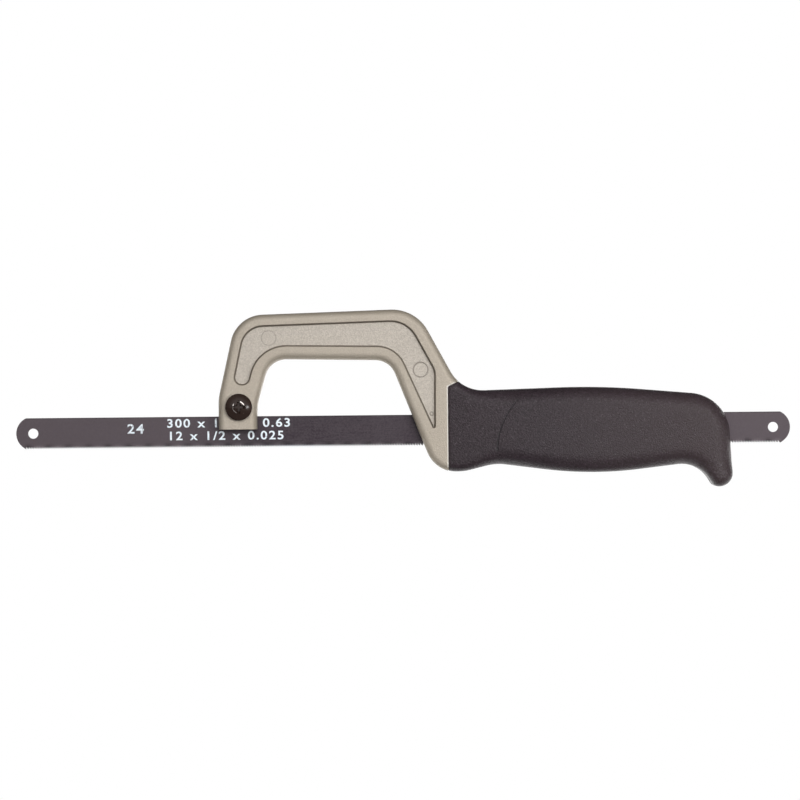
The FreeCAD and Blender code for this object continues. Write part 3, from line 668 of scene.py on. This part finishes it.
def settle(piece, body, finish, *replaced):
    """Gives a piece its finish and the body it rides on, in place of the nodes named."""
    piece.data.materials.clear()
    piece.data.materials.append(FINISHES[finish])
    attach(piece, body)
    if replaced:
        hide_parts(*replaced)


# ---------------------------------------------------------------- blade

# In millimetres; heights on the blade count from its centre line.
TEETH_PER_INCH = 24
TOOTH_DEEP = 1.0
TOOTHED_HALF = HALF_BLADE + 3.0     # the teeth run on past each pin hole
BAND_TOP = -4.9                     # the plain part ends here, above the toothed band
EDGE_CHAMFER = 0.06
SET_REACH = 0.19                    # how far the tooth points stand out to each side
INK_PROUD = 0.004                   # the ink's mid-plane lies this far ahead of the steel
INK_HALF = 0.012
INK_WEIGHT = 0.09                   # how much each stroke is thickened
PRINT_STRETCH = 1.16                # the numerals are this much wider than the plain face
# Each print as its piece's name, words, left end and base line, and height of a numeral.
PRINTS = [("print_pitch", "24", -111.9, -0.25, 3.9),
          ("print_size", "300 x 12.5 x 0.63", -95.9, 2.0, 3.55),
          ("print_inches", "12 x 1/2 x 0.025", -95.6, -3.1, 3.55)]


def blade_plate():
    """The plain part: straight edges, ends rounded by one arc, two pin holes, a fine edge chamfer."""
    low, high = millimetres("blade")
    tall = BLADE_HALF_TALL
    bow = high[0] - HALF_BLADE
    lean = math.degrees(math.asin(tall / bow))
    outer = np.concatenate([
        [(-TOOTHED_HALF, BAND_TOP), (TOOTHED_HALF, BAND_TOP), (TOOTHED_HALF, -tall)],
        arc((HALF_BLADE, 0.0), bow, -lean, lean, 28),
        arc((-HALF_BLADE, 0.0), bow, 180.0 - lean, 180.0 + lean, 28),
        [(-TOOTHED_HALF, -tall)]])
    hole = mount("blade_front_hole")["dims"]["r_mm"]
    loops = [outer]
    for side in (-1, 1):
        loops.append(arc((side * HALF_BLADE, 0.0), hole, 360.0, 360.0 / 48, 48))
    loops = [loop + (0.0, BLADE_Z) for loop in loops]
    return plate("blade_body", loops, low[1], high[1], EDGE_CHAMFER)


def tooth_band():
    """The toothed band as a closed section carried along the blade. Its lower line rises steeply into
    each narrow gullet and falls in two slopes to the next point. Every point of the section is
    pushed sideways by a sine of the length, times a smooth step down the band."""
    half_thick = millimetres("blade")[1][1]
    pitch = 25.4 / TEETH_PER_INCH
    count = int(2 * TOOTHED_HALF / pitch)
    within = np.array([0.0, 0.1, 0.2, 0.45, 0.7, 0.85])
    rise = np.interp(within, [0.0, 0.2, 0.45, 1.0], [0.0, TOOTH_DEEP, 0.4 * TOOTH_DEEP, 0.0])
    along = (np.arange(count)[:, None] + within[None, :]).ravel() * pitch - TOOTHED_HALF
    edge = np.tile(rise, count) - BLADE_HALF_TALL
    along = np.concatenate([along, [along[-1] + 0.25 * pitch]])
    edge = np.concatenate([edge, [-BLADE_HALF_TALL]])
    share = np.array([0.0, 0.25, 0.5, 0.75, 1.0])
    start = BAND_TOP - 0.05
    down = start + (edge - start)[:, None] * share[None, :]
    top = np.tile([BAND_TOP + 0.3, BAND_TOP + 0.2], (len(along), 1))
    z = np.concatenate([top, down], axis=1)
    thick = np.concatenate([[half_thick - 0.015], np.full(z.shape[1] - 1, half_thick + 0.004)])
    step = smooth_step((start - z) / (start + BLADE_HALF_TALL))
    push = SET_REACH * np.sin(2 * math.pi * along / SET_WAVE)[:, None] * step
    x = np.broadcast_to(along[:, None], z.shape)
    near = np.stack([x, push - thick, z + BLADE_Z], axis=2)
    far = np.stack([x, push + thick, z + BLADE_Z], axis=2)
    section = np.concatenate([near, far[:, ::-1]], axis=1)
    points, faces = tube(section, section[0].mean(axis=0), section[-1].mean(axis=0))
    return closed_mesh("blade_teeth", points, faces, 28.0)


def print_on_blade(name, words, left, base, tall):
    """Raised ink numerals on the near face: left and base place the lower left corner from the
    middle of the blade, tall is the height of a numeral."""
    numeral_share = 0.73        # a numeral's height in the font's own size
    letters = bpy.data.curves.new(name, "FONT")
    letters.body = words
    letters.size = tall / numeral_share
    letters.offset = INK_WEIGHT
    letters.extrude = INK_HALF
    letters.resolution_u = 4
    letters.space_character = 1.2
    letters.space_word = 1.25
    source = linked(name, letters)
    mesh = evaluated_mesh(source)
    bpy.data.objects.remove(source)
    face_y = millimetres("blade")[0][1]
    across, up, out = corners_of(mesh).T
    flat = np.stack([left + PRINT_STRETCH * across, face_y - INK_PROUD - out, BLADE_Z + base + up], axis=1)
    mesh.vertices.foreach_set("co", (flat * MM).ravel())
    weld(mesh, mesh, outwards=True)
    return placed(name, mesh)


# ---------------------------------------------------------------- screws

THREAD_PITCH = 0.8          # the clamp screw's M5 thread
THREAD_RADIUS = 2.5
THREAD_ROOT = 2.08
THREAD_FROM = 9.05          # depth below the crown where the thread starts
TIP_LENGTH = 0.5            # plain tapered end past the thread
RING_GROOVE_RADIUS = 2.0


def head_profile(radius, tall, rise, edge, shank, count=16):
    """(depth below the crown, radius) rows: a spherical crown, a small edge arc, the side and the
    underside out to the shank."""
    ball = (radius ** 2 + rise ** 2) / (2 * rise)
    lean = math.asin((radius - 0.6 * edge) / ball)
    turn = np.linspace(lean / count, lean, count)
    crown = np.stack([ball * (1 - np.cos(turn)), ball * np.sin(turn)], axis=1)
    swing = np.linspace(lean, math.pi / 2, 5)[1:]
    middle = crown[-1] + edge * np.array([math.cos(lean), -math.sin(lean)])
    corner = np.stack([middle[0] - edge * np.cos(swing), middle[1] + edge * np.sin(swing)], axis=1)
    widest = corner[-1, 1]
    under = [(tall - 0.12, widest), (tall, widest - 0.12), (tall, shank + 0.25), (tall + 0.25, shank)]
    return np.concatenate([crown, corner, under])


def turned(profile, axis, top_y, way, columns, thread=None):
    """A surface turned about a line along Y. profile is (depth, radius) rows; thread, if given, is
    (from depth, to depth, pitch, root radius) and takes off a V that winds round with the depth."""
    turn = np.linspace(0.0, 2 * math.pi, columns, endpoint=False)[None, :]
    depth = profile[:, :1] + 0 * turn
    radius = profile[:, 1:] + 0 * turn
    if thread:
        start, stop, pitch, root = thread
        phase = (depth / pitch + way * turn / (2 * math.pi)) % 1.0
        groove = root + (radius - root) * np.abs(2 * phase - 1)
        threaded = (depth >= start) & (depth <= stop) & (radius > root)
        radius = np.where(threaded, np.minimum(radius, groove), radius)
    section = np.stack([axis[0] + radius * np.cos(turn), top_y + way * depth,
                        axis[1] + radius * np.sin(turn)], axis=2)
    low = (axis[0], top_y + way * (profile[0, 0] - 0.002), axis[1])
    high = (axis[0], top_y + way * profile[-1, 0], axis[1])
    return tube(section, low, high)


def cross_tool(axis, top_y, way, arm, slim, core, deep, columns=96):
    """The shape that a cross recess takes out: at each angle the larger of a round core and four
    straight wings as long as arm and half as wide as slim, all narrowing with depth."""
    turn = np.linspace(0.0, 2 * math.pi, columns, endpoint=False)
    off = (turn + math.pi / 4) % (math.pi / 2) - math.pi / 4
    levels = []
    for depth, shrink in ((-0.8, 1.22), (0.02, 1.22), (0.30, 1.0), (deep, 0.62)):
        wing = np.minimum(arm * shrink, slim * shrink ** 0.6 / np.maximum(np.abs(np.sin(off)), 1e-6))
        radius = np.maximum(core * shrink, wing)
        levels.append(np.stack([axis[0] + radius * np.cos(turn), np.full(columns, top_y + way * depth),
                                axis[1] + radius * np.sin(turn)], axis=1))
    section = np.stack(levels)
    return tube(section, section[0].mean(axis=0), section[-1].mean(axis=0))


def clamp_screw():
    """Domed cross-recess screw: M5 thread from inside the frame to the tip, and the ring's groove."""
    low, high = millimetres("clamp_screw")
    ring_low, ring_high = millimetres("screw_stop_ring")
    axis = ((low[0] + high[0]) / 2, (low[2] + high[2]) / 2)
    top = low[1]
    seat = millimetres("clamp_washer")[0][1] - top
    head = head_profile((high[0] - low[0]) / 2, seat, 1.55, 0.22, THREAD_RADIUS)
    tip = high[1] - top
    plain = np.linspace(head[-1, 0] + 0.1, THREAD_FROM - 0.05, 6)
    wound = np.linspace(THREAD_FROM, tip - TIP_LENGTH, 132)
    in_groove = (wound > ring_low[1] - top) & (wound < ring_high[1] - top)
    radius = np.where(in_groove, RING_GROOVE_RADIUS, THREAD_RADIUS)
    rows = np.concatenate([head, np.stack([plain, np.full(6, THREAD_RADIUS)], axis=1),
                           np.stack([wound, radius], axis=1), [(tip, RING_GROOVE_RADIUS)]])
    thread = (THREAD_FROM, tip - TIP_LENGTH, THREAD_PITCH, THREAD_ROOT)
    piece = closed_mesh("clamp_screw_finished", *turned(rows, axis, top, 1, 96, thread))
    recess = cross_tool(axis, top, 1, arm=2.75, slim=0.62, core=1.25, deep=1.75)
    cut_out(piece, closed_mesh("cross_cut", *recess))
    return piece


def screw_places(node, count):
    """The axes of a node's identical screws, as (x, z) in millimetres, read off its corners."""
    left = corners_of(nodes[node].data)[:, [0, 2]] / MM
    places = []
    for _ in range(count):
        close = np.linalg.norm(left - left[0], axis=1) < 6.5
        group = left[close]
        places.append(tuple((group.min(axis=0) + group.max(axis=0)) / 2))
        left = left[~close]
    return places


def grip_screws():
    """The far side's pan-head screws, one solid each, down in their rooms."""
    low, high = millimetres("grip_screws")
    top = high[1]
    shank = 1.5
    tip = top - low[1]
    head = head_profile(2.8, 2.0, 0.75, 0.3, shank, 10)
    rows = np.concatenate([head, [(5.0, shank), (tip - 0.4, shank), (tip, shank - 0.4)]])
    solids, tools = [], []
    for x, z in screw_places("grip_screws", 4):
        solids.append(turned(rows, (x, z), top, -1, 48))
        tools.append(cross_tool((x, z), top, -1, arm=1.6, slim=0.36, core=0.62, deep=1.15, columns=64))
    piece = closed_mesh("grip_screws_finished", *joined(solids))
    cut_out(piece, closed_mesh("cross_cuts", *joined(tools)))
    return piece


# ---------------------------------------------------------------- grip

# The grip's outer line as (x, height above the blade's centre line, corner radius), run on over the
# frame so that the seam trims it.
GRIP_LINE = [(5.5, 49.23, 0.0), (23.7, 15.8, 15.0), (79.5, 17.45, 300.0), (131.45, 13.0, 17.0),
             (133.6, -23.95, 5.7), (125.4, -23.95, 3.5), (119.6, -13.8, 13.0), (76.3, -18.85, 158.0),
             (37.5, -13.8, 20.0), (24.5, -16.95, 20.0), (12.9, -16.9, 12.4), (-5.25, 28.45, 0.0)]
SKIN = 0.12                             # the finished face lies this far inside the shell's own
TAPER_START, TAPER_END = 17.3, 62.0     # the grip thickens over this stretch of x
FRONT_HALF, FULL_HALF = 7.2, 10.5       # half thickness at its two ends
SMALL_RIM, GROWN_RIM = 3.5, 2.7         # rim radius at the front, and what it gains behind
CROWN_RISE, CROWN_WIDE = 0.55, 13.0
LINE_STEP = 1.4                         # spacing of points on the outline
FILL_STEP = 1.7                         # and on the broad face


def rounded_line(corners, spacing):
    """The closed line through the corners, each rounded by a tangent arc, in even steps; it runs
    anticlockwise."""
    place = np.array([corner[:2] for corner in corners])
    radius = np.array([corner[2] for corner in corners])
    back = np.roll(place, 1, axis=0) - place
    ahead = np.roll(place, -1, axis=0) - place
    back /= np.linalg.norm(back, axis=1)[:, None]
    ahead /= np.linalg.norm(ahead, axis=1)[:, None]
    half = np.arccos((back * ahead).sum(axis=1)) / 2
    inward = (back + ahead) / np.linalg.norm(back + ahead, axis=1)[:, None]
    centre = place + inward * (radius / np.sin(half))[:, None]
    start = place + back * (radius / np.tan(half))[:, None]
    end = place + ahead * (radius / np.tan(half))[:, None]
    runs = []
    for i in range(len(place)):
        first = math.atan2(*(start[i] - centre[i])[::-1])
        sweep = math.atan2(*(end[i] - centre[i])[::-1]) - first
        sweep = (sweep + math.pi) % (2 * math.pi) - math.pi
        if radius[i]:
            turn = first + np.linspace(0.0, sweep, max(2, round(abs(sweep) * radius[i] / spacing)) + 1)
            runs.append(centre[i] + radius[i] * np.stack([np.cos(turn), np.sin(turn)], axis=1))
        else:
            runs.append(place[i:i + 1])
        onward = start[(i + 1) % len(place)]
        share = np.linspace(0.0, 1.0, max(2, round(np.linalg.norm(onward - end[i]) / spacing)) + 1)
        runs.append(end[i] + share[1:-1, None] * (onward - end[i]))
    line = np.concatenate(runs)
    ahead = np.roll(line, -1, axis=0)
    area = (line[:, 0] * ahead[:, 1] - line[:, 1] * ahead[:, 0]).sum()
    return line if area > 0 else line[::-1]


def depth_inside(points, line):
    """(distance from each point to the closed line, whether the point is inside it)."""
    ahead = np.roll(line, -1, axis=0)
    along = ahead - line
    off = points[:, None, :] - line[None, :, :]
    share = np.clip((off * along).sum(axis=2) / (along ** 2).sum(axis=1), 0.0, 1.0)
    distance = np.linalg.norm(off - share[:, :, None] * along, axis=2).min(axis=1)
    level = points[:, 1:]
    spans = (line[:, 1] > level) != (ahead[:, 1] > level)
    rise = np.where(along[:, 1] == 0.0, 1.0, along[:, 1])
    crossing = line[:, 0] + (level - line[:, 1]) / rise * along[:, 0]
    return distance, (spans & (points[:, :1] < crossing)).sum(axis=1) % 2 == 1


def grip_height(x, z, inside):
    """Half thickness of the grip at x and height z, at a distance inside its outer line: a taper
    along an arc to the front, less a quarter circle at the rim and a shallow crown. The quarter
    circle is small at the front, where the frame meets it, and at the hook."""
    run = TAPER_END - TAPER_START
    sphere = (run ** 2 + (FULL_HALF - FRONT_HALF) ** 2) / (2 * (FULL_HALF - FRONT_HALF))
    short = np.clip(TAPER_END - x, 0.0, 60.0)
    full = FULL_HALF - SKIN - (sphere - np.sqrt(sphere ** 2 - short ** 2))
    grown = smooth_step((x - 21.0) / 24.0) * (1.0 - 0.8 * smooth_step((-13.0 - z) / 7.0))
    rim = SMALL_RIM + GROWN_RIM * grown
    within = np.clip(inside, 0.0, rim)
    crown = CROWN_RISE * grown * np.clip(1.0 - inside / CROWN_WIDE, 0.0, 1.0) ** 2
    return full - crown - (rim - np.sqrt(np.maximum(rim ** 2 - (rim - within) ** 2, 0.0)))


def grip_shell(node, side):
    """The shell's outer face as a height over points of its outline, closed behind the parting
    plane, and of that only what lies within the shell itself, so that its inside stays hollow."""
    line = inset(rounded_line(GRIP_LINE, LINE_STEP), SKIN)
    rings_in = [inset(line, step) for step in (0.1, 0.32, 0.68, 1.2, 1.9, 2.7)]
    across = np.meshgrid(np.arange(-6.0, 134.0, FILL_STEP), np.arange(-25.0, 50.0, FILL_STEP))
    filling = np.stack([across[0].ravel(), across[1].ravel()], axis=1)
    distance, within = depth_inside(filling, line)
    filling = filling[within & (distance > 3.5)]
    flat = np.concatenate([line] + rings_in + [filling])
    count = len(line)
    edges = [(i, (i + 1) % count) for i in range(count)]
    flat, _, faces = delaunay_2d_cdt([Vector(p) for p in flat.tolist()], edges, [], 1, 1e-5)[:3]
    flat = np.array([tuple(p) for p in flat])
    inside = depth_inside(flat, line)[0]
    height = grip_height(flat[:, 0], flat[:, 1], inside)
    top = np.stack([flat[:, 0], side * height, flat[:, 1] + BLADE_Z], axis=1)
    base = np.stack([flat[:, 0], np.full(len(flat), -0.5 * side), flat[:, 1] + BLADE_Z], axis=1)
    directed = np.array([(f[i], f[(i + 1) % len(f)]) for f in faces for i in range(len(f))])
    used = set(map(tuple, directed.tolist()))
    rim = [(a, b) for a, b in used if (b, a) not in used]
    first = len(flat)
    walls = [(b, a, a + first, b + first) for a, b in sorted(rim)]
    closed = [tuple(f) for f in faces] + [tuple(i + first for i in f[::-1]) for f in faces] + walls
    piece = closed_mesh(node + "_finished", np.concatenate([top, base]), closed)
    shell = bpy.data.meshes.new(node + "_whole")
    weld(nodes[node].data, shell)
    cut_out(piece, linked(shell.name, shell), "INTERSECT")
    return piece


# ---------------------------------------------------------------- the saw

settle(blade_plate(), "blade", "blade_steel", "blade")
settle(tooth_band(), "blade", "blade_steel")
for name, words, left, base, tall in PRINTS:
    ink = print_on_blade(name, words, left, base, tall)
    ink.data.materials.append(FINISHES["printed_ink"])
    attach(ink, "blade")
settle(clamp_screw(), "clamp_screw", "black_screw", "clamp_screw")
settle(grip_shell("grip_shell_near", -1), "frame", "grip_plastic", "grip_shell_near")
settle(grip_shell("grip_shell_far", 1), "frame", "grip_plastic", "grip_shell_far")
settle(grip_screws(), "frame", "black_screw", "grip_screws")


# ---------------------------------------------------------------- studio

def studio():
    """A plain white floor that curves up into a wall. As a light it is bright only below and behind
    the saw and black ahead of it, so that the rims of the grip fall dark."""
    floor_z = cad_box[0][2] - 0.16
    back_y = 3.2
    radius = 0.5
    turn = np.linspace(0.0, math.pi / 2, 40)
    y = np.concatenate([[-6.0, -1.0, 0.2], back_y - radius + radius * np.sin(turn), [back_y]])
    z = np.concatenate([[floor_z] * 3, floor_z + radius - radius * np.cos(turn), [4.0]])
    points = np.stack([np.repeat([-4.0, 4.0], len(y)), np.tile(y, 2), np.tile(z, 2)], axis=1)
    count = len(y)
    mesh = bpy.data.meshes.new("cove")
    mesh.from_pydata(points.tolist(), [], [(i, i + 1, count + i + 1, count + i) for i in range(count - 1)])
    mesh.polygons.foreach_set("use_smooth", [True] * (count - 1))
    cove = linked("cove", mesh)
    made, tree, shader, place = material("cove_white")
    _, y, z = split(tree, place)
    glow = sums(tree, "MULTIPLY", spread(tree, y, 0.0, 0.10), spread(tree, z, 1.4, 0.8))
    feed(tree, shader.inputs["Base Color"], mixed(tree, glow, (0.10, 0.10, 0.10), (0.80, 0.80, 0.80)))
    shader.inputs["Roughness"].default_value = 0.95
    feed(tree, shader.inputs["Emission Color"], mixed(tree, glow, (0.0, 0.0, 0.0), (1.0, 1.0, 1.0)))
    shader.inputs["Emission Strength"].default_value = 1.7
    plain = add(tree, "ShaderNodeEmission")
    blend = add(tree, "ShaderNodeMixShader")
    feed(tree, blend.inputs["Fac"], tree.nodes.new("ShaderNodeLightPath").outputs["Is Camera Ray"])
    tree.links.new(shader.outputs["BSDF"], blend.inputs[1])
    tree.links.new(plain.outputs["Emission"], blend.inputs[2])
    end = [node for node in tree.nodes if node.type == "OUTPUT_MATERIAL"][0]
    tree.links.new(blend.outputs["Shader"], end.inputs["Surface"])
    mesh.materials.append(made)


def sky(front, around):
    """World light that is brightest ahead of the saw's near side and fades to all sides; a camera
    sees plain white."""
    world = bpy.data.worlds.new("studio")
    world.use_nodes = True
    tree = world.node_tree
    ahead = split(tree, tree.nodes.new("ShaderNodeTexCoord").outputs["Generated"])[1]
    strength = spread(tree, ahead, -0.60, -0.98, around, front)
    strength.node.interpolation_type = "SMOOTHSTEP"
    seen = tree.nodes.new("ShaderNodeLightPath").outputs["Is Camera Ray"]
    feed(tree, tree.nodes["Background"].inputs["Color"], (1.0, 1.0, 1.0))
    feed(tree, tree.nodes["Background"].inputs["Strength"], sums(tree, "MAXIMUM", strength, seen))
    bpy.context.scene.world = world


def lamp(name, place, aim, wide, power, mirrored=True):
    """A round soft lamp that no camera sees; glossy faces mirror it or not."""
    light = bpy.data.lights.new(name, "AREA")
    light.energy = power
    light.shape = "DISK"
    light.size = wide
    made = linked(name, light)
    made.location = place
    made.rotation_euler = (Vector(aim) - Vector(place)).to_track_quat("-Z", "Y").to_euler()
    made.visible_camera = False
    made.visible_glossy = mirrored


def camera():
    """Square on to the saw's near side, rolled a little, through a long lens."""
    lens = bpy.data.cameras.new("view")
    lens.lens = 200.0
    lens.sensor_width = 36.0
    lens.clip_end = 20.0
    seen_wide = 0.3245          # metres across the picture at the saw
    away = seen_wide * lens.lens / lens.sensor_width
    eye = linked("view", lens)
    look = (Matrix.Rotation(math.radians(90.0), 4, "X")
            @ Matrix.Rotation(math.radians(-0.525), 4, "Z"))
    eye.matrix_world = Matrix.Translation((-0.00115, -away, -0.0002)) @ look
    bpy.context.scene.camera = eye


camera()
studio()
sky(2.0, 0.11)
lamp("key", (0.24, -1.35, 0.30), (0.0, 0.0, 0.0), 0.50, 8.8, mirrored=False)
lamp("side", (0.684, -0.95, 0.0), (-0.07, 0.0, 0.0), 0.20, 3.4)
bpy.context.scene.view_settings.view_transform = "Standard"
